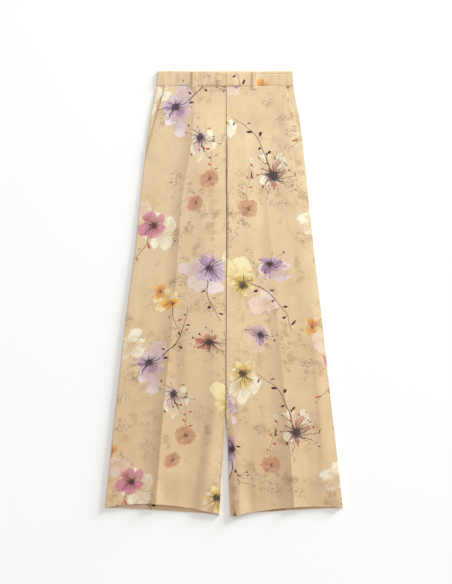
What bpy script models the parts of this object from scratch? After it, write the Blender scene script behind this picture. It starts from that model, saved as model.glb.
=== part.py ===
"""Wide-leg palazzo pants, laid flat on their back with the front up.

Metres, +Z up. +Y runs up the garment to the waist and the wearer's right leg is at -X. The origin is
on the surface that the pants lie on, under the middle of their outline. Each leg is a flattened tube:
a front panel on a back panel, with pressed edges, and a pressed crease standing up down the front.
"""

import math
from collections import namedtuple

import bmesh
import bpy

# Sizes of the cut
LENGTH = 1.110  # waist edge to the lowest hem corner
BAND_HEIGHT = 0.0375
POCKET_END = 0.2025  # below the waist edge, where the slant pocket meets the side
POCKET_SLANT = 0.021  # the pocket mouth's distance from the side at the waistband
FACING_UNDER = 0.012  # how far the pocket facing runs on under the front panel
LOOP_WIDTH = 0.012
LOOP_LENGTH = 0.047
LOOP_ARCH = 0.0019  # how far a belt loop stands off the waistband
OUTER_HEM = 1.090  # below the waist edge, at a leg's outer corner
FLY_END = 0.210
CROTCH = 0.300

# Layers of cloth
CLOTH = 0.0011
BAND_CLOTH = 0.0020
SEAM_GAP = 0.0003
HALF_FOLD = 0.0010  # half the height of a pressed edge, between the middles of its two layers
UPRIGHT = 0.0003  # the straight part of that half, at the outermost line
BEND_RADIUS = HALF_FOLD - UPRIGHT
QUARTER_FOLD = UPRIGHT + BEND_RADIUS * math.pi / 2  # along the cloth, from the outermost line to the flat
LOW = CLOTH / 2  # middle of the lower layer
HIGH = LOW + 2 * HALF_FOLD  # middle of the upper layer at a pressed edge
ONE_OVER = CLOTH + SEAM_GAP  # rise of one layer over another
LEG_OVER = 2 * HALF_FOLD + CLOTH + SEAM_GAP  # rise of one leg over the other
BAND_OVER = BAND_CLOTH + SEAM_GAP
BAND_HIGH = BAND_OVER + BAND_CLOTH / 2
SEAM_RISE = BAND_HIGH - HIGH - 0.0001  # lifts the front panels to the waistband's middle

# Where the right leg climbs over the left one
CLIMB_START = -0.042
CLIMB_END = -0.017
BAND_CLIMB_START = -0.032
BAND_CLIMB_END = -0.013
BAND_UNDERLAP_X = -0.010
WAIST_DIP = 0.002  # the front waist edge sags this much below the back one at the middle
WAIST_DIP_REACH = 0.120

# The outline, a row for each section. "down" is the distance below the waist edge, "lift" the height of
# the crease, "rolled" how far the left inseam has rolled on to the front, and the rest lie along X
Section = namedtuple(
    "Section", "down side_right crease_right inner_right inner_left rolled crease_left side_left lift"
)
SECTIONS = [
    Section(0.0000, -0.1646, -0.0690, 0.0030, -0.0050, 0.0000, 0.0745, 0.1710, 0.0000),
    Section(0.0375, -0.1689, -0.0705, 0.0030, -0.0050, 0.0000, 0.0765, 0.1730, 0.0004),
    Section(0.1300, -0.1854, -0.0770, 0.0030, -0.0050, 0.0000, 0.0860, 0.1895, 0.0026),
    Section(0.2100, -0.1959, -0.0860, 0.0030, -0.0050, 0.0000, 0.0960, 0.1989, 0.0033),
    Section(0.2400, -0.1993, -0.0915, 0.0030, 0.0033, 0.0000, 0.0990, 0.2022, 0.0033),
    Section(0.3000, -0.2064, -0.1030, 0.0030, 0.0033, 0.0000, 0.1045, 0.2085, 0.0032),
    Section(0.3700, -0.2135, -0.1100, 0.0030, -0.0130, 0.0000, 0.1108, 0.2158, 0.0031),
    Section(0.4500, -0.2216, -0.1155, 0.0030, -0.0130, 0.0000, 0.1175, 0.2241, 0.0031),
    Section(0.6200, -0.2441, -0.1285, 0.0030, -0.0098, 0.0000, 0.1320, 0.2438, 0.0035),
    Section(0.8000, -0.2646, -0.1475, 0.0024, 0.0013, 0.0070, 0.1502, 0.2632, 0.0043),
    Section(0.9500, -0.2814, -0.1609, -0.0021, 0.0101, 0.0185, 0.1639, 0.2806, 0.0050),
    Section(1.0300, -0.2897, -0.1672, -0.0086, 0.0129, 0.0212, 0.1700, 0.2895, 0.0054),
    Section(1.1100, -0.2980, -0.1734, -0.0121, 0.0166, 0.0216, 0.1760, 0.2980, 0.0057),
]

# Soft folds of the front. A negative height is a trough
Fold = namedtuple("Fold", "leg start end x_start x_end half_width height")
FOLDS = [
    Fold("right", 0.10, 0.30, -0.108, -0.128, 0.024, -0.0012),
    Fold("right", 0.60, 0.80, -0.094, -0.108, 0.020, -0.0014),
    Fold("right", 0.78, 1.20, -0.056, -0.069, 0.026, -0.0030),
    Fold("right", 0.30, 0.62, -0.055, -0.058, 0.030, 0.0010),
    Fold("left", 0.09, 0.36, 0.138, 0.158, 0.018, -0.0016),
    Fold("left", 0.09, 0.40, 0.165, 0.185, 0.016, 0.0009),
    Fold("left", 0.54, 1.08, 0.212, 0.255, 0.018, -0.0022),
    Fold("left", 0.72, 1.20, 0.120, 0.128, 0.030, -0.0014),
    Fold("left", 0.20, 0.55, 0.060, 0.064, 0.034, 0.0012),
]

# How each leg's upper layer rounds up from its edges: height, and the distance over which it rises
Rise = namedtuple("Rise", "outer_height outer_reach inner_height inner_reach crease_outer crease_inner")
RISES = {
    "right": Rise(0.0026, 0.050, 0.0012, 0.020, 0.034, 0.080),
    "left": Rise(0.0022, 0.040, 0.0014, 0.045, 0.080, 0.034),
}

# The hems: the front's is drawn up in an arc, by this much at the middle of the leg
HEM_ARC = {"right": 0.018, "left": 0.010}
HEM_STARTS = 0.95  # below this the rows swing into the line of the hem
HEM_LEVEL = 1.100
OUTWARD = {"right": -1.0, "left": 1.0}

# Stations of the rows down a leg, below the waistband seam
PANEL_TOP = BAND_HEIGHT + SEAM_GAP / 2
ROWS = [PANEL_TOP, 0.055, 0.080, 0.115, 0.150, 0.180, POCKET_END, 0.2125, 0.2250, 0.2500, 0.2750, CROTCH]
ROWS += [0.320, 0.340, 0.370, 0.410, 0.460, 0.520, 0.580, 0.640, 0.700, 0.760, 0.815, 0.850, 0.890, 0.930]
ROWS += [0.970, 1.010, 1.045, 1.075, HEM_LEVEL]
FACING_ROWS = [PANEL_TOP, 0.060, 0.090, 0.120, 0.150, 0.175, POCKET_END - 0.003]

COLOUR = (0.74, 0.56, 0.34, 1.0)


def smooth(value, start, end):
    """0 before start and 1 after end, with an S between."""
    t = min(1.0, max(0.0, (value - start) / (end - start)))
    return t * t * (3 - 2 * t)


def lerp(a, b, t):
    return a + (b - a) * t


def slopes(column):
    """The slope of a column at each section, flat where it turns, so the curve never overshoots."""
    downs = [s.down for s in SECTIONS]
    values = [getattr(s, column) for s in SECTIONS]
    steps = [(values[i + 1] - values[i]) / (downs[i + 1] - downs[i]) for i in range(len(downs) - 1)]
    inside = [0.0 if a * b <= 0 else 2 * a * b / (a + b) for a, b in zip(steps, steps[1:])]
    return [steps[0], *inside, steps[-1]]


SLOPES = {column: slopes(column) for column in Section._fields[1:]}


def at(column, down):
    """A column of the sections, at any distance below the waist edge."""
    i = 0
    while i < len(SECTIONS) - 2 and down > SECTIONS[i + 1].down:
        i += 1
    above, below = SECTIONS[i], SECTIONS[i + 1]
    span = below.down - above.down
    t = (down - above.down) / span
    a, b = getattr(above, column), getattr(below, column)
    m, n = SLOPES[column][i] * span, SLOPES[column][i + 1] * span
    return (
        (2 * t**3 - 3 * t**2 + 1) * a
        + (t**3 - 2 * t**2 + t) * m
        + (3 * t**2 - 2 * t**3) * b
        + (t**3 - t**2) * n
    )


# ---------------------------------------------------------------- heights


def climb(x, down, layer):
    """Rise of the right leg where it lies on the left one. Above the crotch only its front laps over."""
    ends = 1 - smooth(down, 0.855, 0.930)
    if layer == "front":
        amount = lerp(ONE_OVER, LEG_OVER, smooth(down, FLY_END, 0.250))
    else:
        amount = LEG_OVER * smooth(down, 0.250, CROTCH)
    return amount * ends * smooth(x, CLIMB_START, CLIMB_END)


def pocket_x(leg, down):
    """The slant mouth of the pocket: a straight line from the waistband to the side."""
    out = OUTWARD[leg]
    at_band = at("side_" + leg, BAND_HEIGHT) - out * POCKET_SLANT
    at_side = at("side_" + leg, POCKET_END)
    return lerp(at_band, at_side, (down - BAND_HEIGHT) / (POCKET_END - BAND_HEIGHT))


def pocket_lip(leg, x, down):
    """The front panel rides one layer up where it covers the pocket facing."""
    inside = (pocket_x(leg, min(down, POCKET_END)) - x) * OUTWARD[leg]
    return ONE_OVER * (1 - smooth(inside, FACING_UNDER + 0.002, 0.045)) * (1 - smooth(down, POCKET_END, 0.230))


def fold_height(fold, x, down):
    if not fold.start < down < fold.end:
        return 0.0
    t = (down - fold.start) / (fold.end - fold.start)
    away = abs(x - lerp(fold.x_start, fold.x_end, t)) / fold.half_width
    if away >= 1:
        return 0.0
    return fold.height * smooth(t, 0, 0.35) * smooth(1 - t, 0, 0.25) * (1 + math.cos(math.pi * away)) / 2


def crease_height(leg, x, down):
    """A pressed crease: a sharp line with hollow flanks."""
    away = (x - at("crease_" + leg, down)) * OUTWARD[leg]
    reach = RISES[leg].crease_outer if away > 0 else RISES[leg].crease_inner
    return at("lift", down) * max(0.0, 1 - abs(away) / reach) ** 2


def rounding(distance, reach):
    """0 at an edge and 1 from reach on, starting steeply."""
    t = min(1.0, max(0.0, distance / reach))
    return 1 - (1 - t) ** 2


def clear_line(leg, down):
    """Where a leg's front begins to rise: by its inner edge, or by the edge of the leg that laps over it."""
    inner = at("inner_" + leg, down) + OUTWARD[leg] * (HALF_FOLD + 0.003)
    return inner if leg == "right" else max(inner, at("inner_right", down) + 0.004)


def upper(leg, x, down):
    """Height of the middle of the upper layer."""
    rise = RISES[leg]
    out = OUTWARD[leg]
    from_side = (at("side_" + leg, down) - x) * out - HALF_FOLD
    from_inner = (x - clear_line(leg, down)) * out
    edge = rounding(from_side, rise.outer_reach) * rounding(from_inner, rise.inner_reach)
    across = from_inner / max(from_side + from_inner, 0.001)
    body = lerp(rise.inner_height, rise.outer_height, min(1.0, max(0.0, across)))
    folds = sum(fold_height(f, x, down) for f in FOLDS if f.leg == leg)
    soft = max(-0.0002, (body + folds + crease_height(leg, x, down)) * edge)
    below_band = smooth(down, PANEL_TOP, 0.115)
    z = HIGH + soft * below_band + SEAM_RISE * (1 - below_band) + pocket_lip(leg, x, down)
    return z + (climb(x, down, "front") if leg == "right" else 0.0)


def lower(leg, x, down):
    """Height of the middle of the lower layer, which lies on the floor."""
    return LOW + (climb(x, down, "back") if leg == "right" else 0.0)


# ------------------------------------------------------- sections of a leg

Edge = namedtuple("Edge", "leg x outward bend down")


def outer_edge(leg, layer, down):
    """The side seam. Above it the front ends in the pocket mouth, which lies flat."""
    if layer == "front" and down < POCKET_END:
        return Edge(leg, pocket_x(leg, down), OUTWARD[leg], 0.0, down)
    bend = math.pi / 2 * (smooth(down, POCKET_END, 0.2250) if layer == "front" else 1.0)
    return Edge(leg, at("side_" + leg, down), OUTWARD[leg], bend, down)


def inner_edge(leg, layer, down):
    """The centre seam down to the crotch, then the inside of the leg."""
    inward = -OUTWARD[leg]
    x = at("inner_" + leg, down)
    if layer == "back":
        x = lerp(-inward * SEAM_GAP / 2, x, smooth(down, CROTCH, 0.350))
    return Edge(leg, x, inward, math.pi / 2 * smooth(down, CROTCH, 0.340), down)


def bent(edge, way):
    """How far a pressed edge reaches out and drops, at a way along the cloth from its flat run."""
    upright = max(0.0, way - (QUARTER_FOLD - UPRIGHT))
    turned = way - upright
    if edge.bend < 0.01:
        return way, 0.0
    radius = (QUARTER_FOLD - UPRIGHT) / edge.bend
    reach = radius * math.sin(turned / radius) + upright * math.cos(edge.bend)
    drop = radius * (1 - math.cos(turned / radius)) + upright * math.sin(edge.bend)
    return reach, drop


def run_end(edge):
    """Where the flat run ends and the pressed edge begins to bend."""
    return edge.x - edge.outward * bent(edge, QUARTER_FOLD)[0]


def edge_point(edge, along):
    """A point by an edge. along is the way from its outermost line, over the upper layer if positive."""
    height = upper if along > 0 else lower
    way = QUARTER_FOLD - abs(along)
    if way <= 0:
        x = run_end(edge) + edge.outward * way
        return x, height(edge.leg, x, edge.down), edge.down
    x = run_end(edge)
    z = height(edge.leg, x, edge.down)
    reach, drop = bent(edge, way)
    return x + edge.outward * reach, z + (-drop if along > 0 else drop), edge.down


def spread(start, end, count):
    """count values after start, up to end."""
    return [lerp(start, end, (i + 1) / count) for i in range(count)]


ROUND_BEND = spread(QUARTER_FOLD, UPRIGHT, 3)
TO_SEAM = [*ROUND_BEND, SEAM_GAP / 2]  # ways along a pressed edge, from its flat run to its seam
FROM_SEAM = TO_SEAM[::-1]
UNDER_RUN, SQUEEZED = 9, 7


def inseam(leg, down):
    """How far the inseam has rolled on to the front. It is on the outermost line, or clear of the bend."""
    rolled = at("rolled", down) if leg == "left" else 0.0
    return rolled if rolled > QUARTER_FOLD + SEAM_GAP else 0.0


def hem(leg, layer, across):
    """How far down the hem lies, across the leg from its outer edge at 0 to its inner one at 1."""
    arc = HEM_ARC[leg] * math.sin(math.pi * across) if layer == "front" else 0.0
    return lerp(OUTER_HEM, LENGTH, across) - arc


def row_down(leg, layer, row, across):
    """The rows run level, and swing into the hem at the bottom."""
    if row <= HEM_STARTS:
        return row
    return lerp(HEM_STARTS, hem(leg, layer, across), (row - HEM_STARTS) / (HEM_LEVEL - HEM_STARTS))


# The stretches of a front panel: how far across it each begins and ends, and its columns
Stretch = namedtuple("Stretch", "begins ends columns")
STRETCHES = [Stretch(0.0, 0.5, 8), Stretch(0.5, 0.95, 9), Stretch(0.95, 1.0, 1)]


def stretch_marks(leg, down):
    """Where the stretches meet: flat edge, crease, the line where the leg is clear, and flat edge."""
    outer = edge_point(outer_edge(leg, "front", down), QUARTER_FOLD)
    inner = edge_point(inner_edge(leg, "front", down), inseam(leg, down) + QUARTER_FOLD)
    clear = clear_line(leg, down)
    if leg == "left":
        clear = max(clear, inner[0] + 0.003)
    return [outer[0], at("crease_" + leg, down), clear, inner[0]]


def front_section(leg, row):
    """Points across a front panel, from its outer edge over the crease to the inseam."""
    outer = outer_edge(leg, "front", row_down(leg, "front", row, 0.0))
    inner = inner_edge(leg, "front", row_down(leg, "front", row, 1.0))
    points = [edge_point(outer, along) for along in [*FROM_SEAM, QUARTER_FOLD]]
    for i, stretch in enumerate(STRETCHES):
        for t in spread(0.0, 1.0, stretch.columns):
            down = row_down(leg, "front", row, lerp(stretch.begins, stretch.ends, t))
            marks = stretch_marks(leg, down)
            x = lerp(marks[i], marks[i + 1], t)
            points.append((x, upper(leg, x, down), down))
    return points + [edge_point(inner, inseam(leg, inner.down) + along) for along in TO_SEAM]


def round_inner_edge(edge):
    """Points of a back panel round its inner edge, from the underside up to the inseam."""
    rolled = inseam(edge.leg, edge.down)
    path = [-QUARTER_FOLD] + [-along for along in ROUND_BEND]
    if edge.leg == "right":
        path.append(-SEAM_GAP / 2)
    elif rolled:
        path += [*ROUND_BEND[::-1], QUARTER_FOLD]
        path += spread(QUARTER_FOLD, rolled - SEAM_GAP / 2, SQUEEZED - len(ROUND_BEND) - 1)
    else:
        path += spread(-UPRIGHT, -SEAM_GAP / 2, SQUEEZED)
    return [edge_point(edge, along) for along in path]


def back_section(leg, row):
    """Points across a back panel: side seam, flat underside, then round the inner edge."""
    outer = outer_edge(leg, "back", row_down(leg, "back", row, 0.0))
    inner = inner_edge(leg, "back", row_down(leg, "back", row, 1.0))
    points = [edge_point(outer, -along) for along in [*FROM_SEAM, QUARTER_FOLD]]
    for t in spread(0.0, 1.0, UNDER_RUN)[:-1]:
        down = row_down(leg, "back", row, t)
        start = run_end(outer_edge(leg, "back", down))
        end = run_end(inner_edge(leg, "back", down))
        # The columns crowd towards the inner edge, where the right leg climbs
        x = lerp(start, end, 1 - (1 - t) ** 2)
        points.append((x, lower(leg, x, down), down))
    return points + round_inner_edge(inner)


def facing_section(leg, row):
    """Points across a pocket facing: side seam, then flat until it is well under the front panel."""
    edge = outer_edge(leg, "back", row)
    points = []
    for along in [*FROM_SEAM, QUARTER_FOLD]:
        reach, drop = bent(edge, QUARTER_FOLD - along)
        points.append((run_end(edge) + edge.outward * reach, HIGH - drop, row))
    inside = pocket_x(leg, row) - OUTWARD[leg] * FACING_UNDER
    return points + [(x, HIGH, row) for x in spread(run_end(edge), inside, 4)]


# ------------------------------------------------------------- the objects


def cloth_material(name, colour):
    material = bpy.data.materials.new(name)
    material.use_nodes = True
    shader = material.node_tree.nodes["Principled BSDF"]
    shader.inputs["Base Color"].default_value = colour
    shader.inputs["Roughness"].default_value = 0.75
    shader.inputs["Metallic"].default_value = 0.0
    return material


def cloth(name, sections, thickness=CLOTH):
    """One piece of cloth: a grid drawn through its sections, given its wall by Solidify."""
    rows, columns = len(sections), len(sections[0])
    work = bmesh.new()
    bmesh.ops.create_grid(work, x_segments=columns - 1, y_segments=rows - 1, size=0.5)
    for vert in work.verts:
        column = round((vert.co.x + 0.5) * (columns - 1))
        row = round((0.5 - vert.co.y) * (rows - 1))
        x, z, down = sections[row][column]
        vert.co = (x, LENGTH / 2 - down, z)
    bmesh.ops.recalc_face_normals(work, faces=work.faces)
    mesh = bpy.data.meshes.new(name)
    work.to_mesh(mesh)
    work.free()
    mesh.shade_smooth()
    piece = bpy.data.objects.new(name, mesh)
    piece.data.materials.append(cloth_material(name, COLOUR))
    garment.objects.link(piece)
    wall = piece.modifiers.new("Wall", "SOLIDIFY")
    wall.thickness = thickness
    wall.offset = 0.0
    wall.use_even_offset = True
    return piece


def leg_panels(leg):
    cloth("front_leg_" + leg, [front_section(leg, row) for row in ROWS])
    cloth("back_leg_" + leg, [back_section(leg, row) for row in ROWS])
    cloth("pocket_facing_" + leg, [facing_section(leg, row) for row in FACING_ROWS])


def waist_edge(x):
    """The front's waist edge dips a little at the middle."""
    return WAIST_DIP * max(0.0, 1 - (x / WAIST_DIP_REACH) ** 2)


def band_height(leg, x):
    over = BAND_OVER * smooth(x, BAND_CLIMB_START, BAND_CLIMB_END) if leg == "right" else 0.0
    return BAND_HIGH + over


def waistband_front(leg):
    """A front half of the waistband. The right one laps over the left at the centre front."""
    end = at("inner_right", 0.0) if leg == "right" else BAND_UNDERLAP_X
    sections = []
    for t in spread(-1 / 3, 1.0, 4):
        across = []
        for u in spread(-1 / 12, 1.0, 13):
            side = at("side_" + leg, t * BAND_HEIGHT)
            x = lerp(side, end, u)
            down = lerp(waist_edge(x), BAND_HEIGHT - SEAM_GAP / 2, t)
            across.append((x, band_height(leg, x), down))
        sections.append(across)
    cloth("waistband_front_" + leg, sections, BAND_CLOTH)


def waistband_back():
    sections = []
    for t in spread(-1 / 3, 1.0, 4):
        down = t * (BAND_HEIGHT - SEAM_GAP / 2)
        sides = at("side_right", down), at("side_left", down)
        sections.append([(lerp(*sides, u), BAND_CLOTH / 2, down) for u in spread(-1 / 8, 1.0, 9)])
    cloth("waistband_back", sections, BAND_CLOTH)


def loop_base(leg, x, down):
    """Top of what lies under a belt loop: the waistband, and the front panel below it."""
    band = band_height(leg, x) + BAND_CLOTH / 2
    panel = upper(leg, x, max(down, PANEL_TOP)) + CLOTH / 2
    return lerp(band, panel, smooth(down, BAND_HEIGHT, LOOP_LENGTH))


def belt_loop(leg):
    """A strip sewn down at both ends, arching off the waistband between them."""
    middle = at("crease_" + leg, 0.02) - 0.0045 * (1 if leg == "right" else 0)
    sections = []
    for t in spread(-1 / 12, 1.0, 13):
        down = lerp(waist_edge(middle) + 0.001, LOOP_LENGTH, t)
        arch = LOOP_ARCH * smooth(t, 0.08, 0.26) * (1 - smooth(t, 0.76, 0.93))
        across = []
        for side in (-1, -0.5, 0, 0.5, 1):
            x = middle + side * LOOP_WIDTH / 2
            height = max(loop_base(leg, x, down), loop_base(leg, x, min(down, BAND_HEIGHT)) * (t < 0.8))
            across.append((x, height + SEAM_GAP + CLOTH / 2 + arch, down))
        sections.append(across)
    cloth("belt_loop_" + leg, sections)


for old in list(bpy.data.objects):
    bpy.data.objects.remove(old)
garment = bpy.data.collections.new("palazzo_pants")
bpy.context.scene.collection.children.link(garment)
for side in ("right", "left"):
    leg_panels(side)
    waistband_front(side)
    belt_loop(side)
waistband_back()
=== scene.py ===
"""Looks of the palazzo pants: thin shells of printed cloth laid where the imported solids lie.

Metres, in the frame of the part: +Y runs up the garment, +Z up off the floor, and the wearer's right
leg is at -X. Each shell repeats the section functions of the part on a finer grid, with the small
creases and the soft unevenness that the solids leave out. The print is drawn by shader nodes in
metres of cloth.
"""

import math
from collections import namedtuple

import bpy
import numpy as np
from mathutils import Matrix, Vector


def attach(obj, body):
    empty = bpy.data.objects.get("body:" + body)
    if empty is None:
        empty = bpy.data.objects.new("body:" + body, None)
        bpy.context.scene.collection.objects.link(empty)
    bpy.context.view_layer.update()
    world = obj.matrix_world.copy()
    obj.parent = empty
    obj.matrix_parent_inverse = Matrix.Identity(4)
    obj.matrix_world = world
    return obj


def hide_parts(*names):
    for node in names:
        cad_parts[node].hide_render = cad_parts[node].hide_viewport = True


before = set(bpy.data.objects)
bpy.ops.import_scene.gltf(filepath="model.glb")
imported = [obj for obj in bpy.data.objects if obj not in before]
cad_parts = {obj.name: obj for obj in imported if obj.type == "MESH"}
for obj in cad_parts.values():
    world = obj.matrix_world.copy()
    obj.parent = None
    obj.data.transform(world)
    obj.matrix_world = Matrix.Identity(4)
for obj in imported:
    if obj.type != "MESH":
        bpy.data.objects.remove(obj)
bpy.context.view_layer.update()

# ---- sizes, as in the part

LENGTH = 1.11
BAND_HEIGHT = 0.0375
POCKET_END = 0.2025
POCKET_SLANT = 0.021
FACING_UNDER = 0.012
FACING_INSIDE = 0.0004  # how far the facing ends inside the side seam, beside the waistband
FACING_ROLL_TOP = 0.2  # how much of the bend into the side seam the facing has there
FACING_ROLL_DOWN = (0.064, 0.095)
LOOP_WIDTH = 0.012
LOOP_LENGTH = {"right": 0.05, "left": 0.045}
LOOP_ASIDE = {"right": -0.0045, "left": 0.0}  # from the pressed crease
LOOP_ARCH = 0.0003
POCKET_LIP = 0.0008  # how far the pocket mouth lies above the facing
POCKET_LIP_END = 0.23
OUTER_HEM = 1.09
CROTCH = 0.3

CLOTH = 0.0011
SHELL = 0.0006  # thickness of the shells
BAND_SHELL = 0.0012  # and of the waistband's front halves
BAND_CLOTH = 0.002
SEAM_GAP = 0.0003
HALF_FOLD = 0.0016
UPRIGHT = 0.0012
BEND_RADIUS = HALF_FOLD - UPRIGHT
QUARTER_FOLD = UPRIGHT + BEND_RADIUS * math.pi / 2
LOW = CLOTH / 2
HIGH = LOW + 2 * HALF_FOLD
ONE_OVER = CLOTH + SEAM_GAP
LEG_OVER = 2 * HALF_FOLD + CLOTH + SEAM_GAP
BAND_OVER = BAND_CLOTH + SEAM_GAP
SKIN_GAP = 0.0001  # between layers that touch
BAND_HIGH = 1.5 * BAND_SHELL + 2 * SKIN_GAP
SINK = 0.002  # how much flatter the legs lie at the waist than at the hems
SINK_DOWN = (0.1, 0.7)
SEAM_STEP = 0.0002  # how far the panels lie below the band at the waist seam
SEAM_RISE = BAND_HIGH + (BAND_SHELL - SHELL) / 2 - (HIGH - SINK) - SEAM_STEP

# Where the right half climbs on to the left half, across the garment
BACK_CLIMB = (-0.042, -0.017)
FRONT_CLIMB = (-0.14, -0.012)
BAND_CLIMB = (-0.155, -0.012)
BAND_UNDERLAP_X = -0.01
BAND_EDGE_ROUND = 0.00045
WAIST_DIP = 0.002
WAIST_DIP_REACH = 0.12
GROOVE = 0.0003  # a fold line pressed into the left half of the band
GROOVE_ROWS = (0.19, 0.198)

MM = 0.001
# Edges and creases across the garment, and how far each pressed crease stands up, by way down from
# the waist edge, in millimetres
COLUMNS = (
    "down side_right crease_right inner_right inner_left rolled crease_left side_left lift_right lift_left"
)
SECTIONS = [
    (0, -164.6, -69, 3, -5, 0, 74.5, 171, 0, 0),
    (37.5, -168.9, -70.5, 3, -5, 0, 76.5, 173, 0.4, 0.2),
    (130, -185.4, -77, 3, -5, 0, 86, 189.5, 1.5, 0.4),
    (210, -195.9, -86, 3, -5, 0, 96, 198.9, 2.1, 0.5),
    (240, -199.3, -91.5, 3, 3.3, 0, 99, 202.2, 2.3, 0.5),
    (300, -206.4, -103, 3, 3.3, 0, 104.5, 208.5, 2.3, 0.5),
    (370, -213.5, -110, 3, -13, 0, 110.8, 215.8, 2.3, 0.6),
    (450, -221.6, -115.5, 3, -13, 0, 117.5, 224.1, 2.1, 0.7),
    (620, -244.1, -128.5, 3, -9.8, 0, 132, 243.8, 2.2, 0.9),
    (800, -264.6, -147.5, 2.4, 1.3, 7, 150.2, 263.2, 3.4, 1.7),
    (950, -281.4, -160.9, -2.1, 10.1, 18.5, 163.9, 280.6, 3.9, 2.4),
    (1030, -289.7, -167.2, -8.6, 12.9, 21.2, 170, 289.5, 4, 2.9),
    (1110, -298, -173.4, -12.1, 16.6, 21.6, 176, 298, 4.1, 3.4),
]
TABLE = dict(zip(COLUMNS.split(), np.array(SECTIONS).T * MM))

Fold = namedtuple("Fold", "start end x_start x_end rise fall height")


def folds(*rows):
    """The folds of a leg, from rows in millimetres."""
    return [Fold(*(value * MM for value in row)) for row in rows]


FOLDS = {
    "right": folds(
        (530, 880, -86, -101, 30, 50, 1.2),
        (700, 1260, 4, -78, 30, 60, 2.9),
        (300, 620, -44, -46, 32, 36, 0.63),
    ),
    "left": folds(
        (80, 370, 149, 160, 26, 30, 0.85),
        (460, 1140, 208, 264, 15, 26, 0.56),
        (720, 1200, 120, 128, 30, 30, -0.7),
        (200, 550, 64, 70, 30, 34, 0.56),
    ),
}
# Small soft creases that only the shells have
FINE_FOLDS = {
    "right": folds(
        (50, 220, -40, -46, 9, 12, 0.15),
        (60, 340, -20, -28, 12, 16, -0.21),
        (240, 520, -40, -34, 14, 14, -0.28),
        (360, 600, -150, -168, 16, 16, 0.21),
        (480, 720, -200, -222, 12, 14, -0.21),
        (620, 860, -30, -26, 12, 12, 0.21),
        (820, 1140, -205, -214, 18, 20, -0.28),
        (840, 1150, -250, -262, 14, 12, 0.21),
        (900, 1180, -110, -118, 14, 20, 0.21),
    ),
    "left": folds(
        (50, 200, 24, 34, 10, 12, -0.21),
        (70, 300, 48, 56, 9, 12, 0.21),
        (280, 500, 24, 20, 12, 12, -0.21),
        (400, 640, 172, 182, 14, 14, -0.21),
        (550, 820, 90, 98, 14, 16, 0.21),
        (660, 900, 46, 50, 13, 14, -0.28),
        (800, 1160, 236, 246, 12, 12, 0.21),
        (880, 1160, 206, 214, 14, 14, -0.21),
        (920, 1180, 74, 80, 14, 16, 0.21),
    ),
}

Rise = namedtuple("Rise", "outer_height outer_reach inner_height inner_reach crease_steep crease_easy")
RISES = {
    "right": Rise(0.0004, 0.05, 0.0004, 0.03, 0.04, 0.125),
    "left": Rise(0.0016, 0.04, 0.001, 0.045, 0.042, 0.06),
}
SHOULDER_REACH = 0.13
CREASE_STEEP_TOP = 0.028
SOFT_EDGE_OUTER = 0.02
SOFT_EDGE_INNER = 0.06
HEM_ARC = {"right": 0.018, "left": 0.01}
HEM_DROP = 0.0021  # how far the front hems sink on to the back ones
HEM_DROP_FROM = {"right": 0.115, "left": 0.004}  # across the leg from its side seam
HEM_DROP_SIDE = 0.03
HEM_DROP_INNER = (0.006, 0.045)
HEM_DROP_DOWN = (1.0, 1.08)
BACK_CREASE_X = -0.1272  # the pressed crease inside the right hem
BACK_CREASE_WIDTH = 0.0011
BACK_CREASE_RISE = 0.0006
BACK_CREASE_DOWN = (1.06, 1.085)
HEM_STARTS = 0.95
HEM_LEVEL = 1.1
OUTWARD = {"right": -1.0, "left": 1.0}
PANEL_TOP = BAND_HEIGHT + SEAM_GAP / 2
BAND_LEVEL_END = 0.115  # from here on the panels lie free of the waist seam
UNEVENNESS = 0.00009
DEEPEST = -0.0002  # a fold sinks no lower than this below the flat cloth

# ---- the section functions


def smooth(value, start, end):
    t = np.clip((np.asarray(value, float) - start) / (end - start), 0, 1)
    return t * t * (3 - 2 * t)


def lerp(a, b, t):
    return a + (b - a) * t


def slopes(name):
    steps = np.diff(TABLE[name]) / np.diff(TABLE["down"])
    inside = [0.0 if a * b <= 0 else 2 * a * b / (a + b) for a, b in zip(steps, steps[1:])]
    return np.array([steps[0], *inside, steps[-1]])


SLOPES = {name: slopes(name) for name in TABLE if name != "down"}


def at(name, down):
    """A column of the sections, at any distance below the waist edge."""
    down = np.asarray(down, float)
    downs, values, slope = TABLE["down"], TABLE[name], SLOPES[name]
    i = np.clip(np.searchsorted(downs, down) - 1, 0, len(downs) - 2)
    span = downs[i + 1] - downs[i]
    t = (down - downs[i]) / span
    return (
        (2 * t**3 - 3 * t**2 + 1) * values[i]
        + (t**3 - 2 * t**2 + t) * slope[i] * span
        + (3 * t**2 - 2 * t**3) * values[i + 1]
        + (t**3 - t**2) * slope[i + 1] * span
    )


def over_height(down):
    """How far the right front's edge lies above the level that it would have alone."""
    return lerp(ONE_OVER, LEG_OVER, smooth(down, 0.08, 0.27))


def climb(x, down, layer):
    if layer == "front":
        ends = 1 - smooth(down, 0.8, 0.98)
        return over_height(down) * ends * smooth(x, *FRONT_CLIMB)
    amount = LEG_OVER * smooth(down, 0.25, CROTCH) * (1 - smooth(down, 0.855, 0.93))
    return amount * smooth(x, *BACK_CLIMB)


def shoulder(x, down):
    """The left front comes up level beside the lap, and its rolled inseam stands up round its edge."""
    d = x - at("inner_right", down) - 0.0012
    height = over_height(down) + 0.0003
    width = lerp(lerp(0.002, 0.004, smooth(down, 0.1, 0.25)), 0.0012, smooth(down, 0.42, 0.56))
    lap = height * (1 - smooth(down, 0.8, 0.95)) * smooth(d / width, 0, 1)
    lap = lap * (1 - np.clip(d / SHOULDER_REACH, 0, 1)) ** 2
    d = x - at("inner_left", down) - HALF_FOLD
    strip = 0.0018 * smooth(down, 0.86, 0.93) * rounding(d, 0.013) * (1 - smooth(d, 0.016, 0.055))
    return lap + strip


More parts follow.
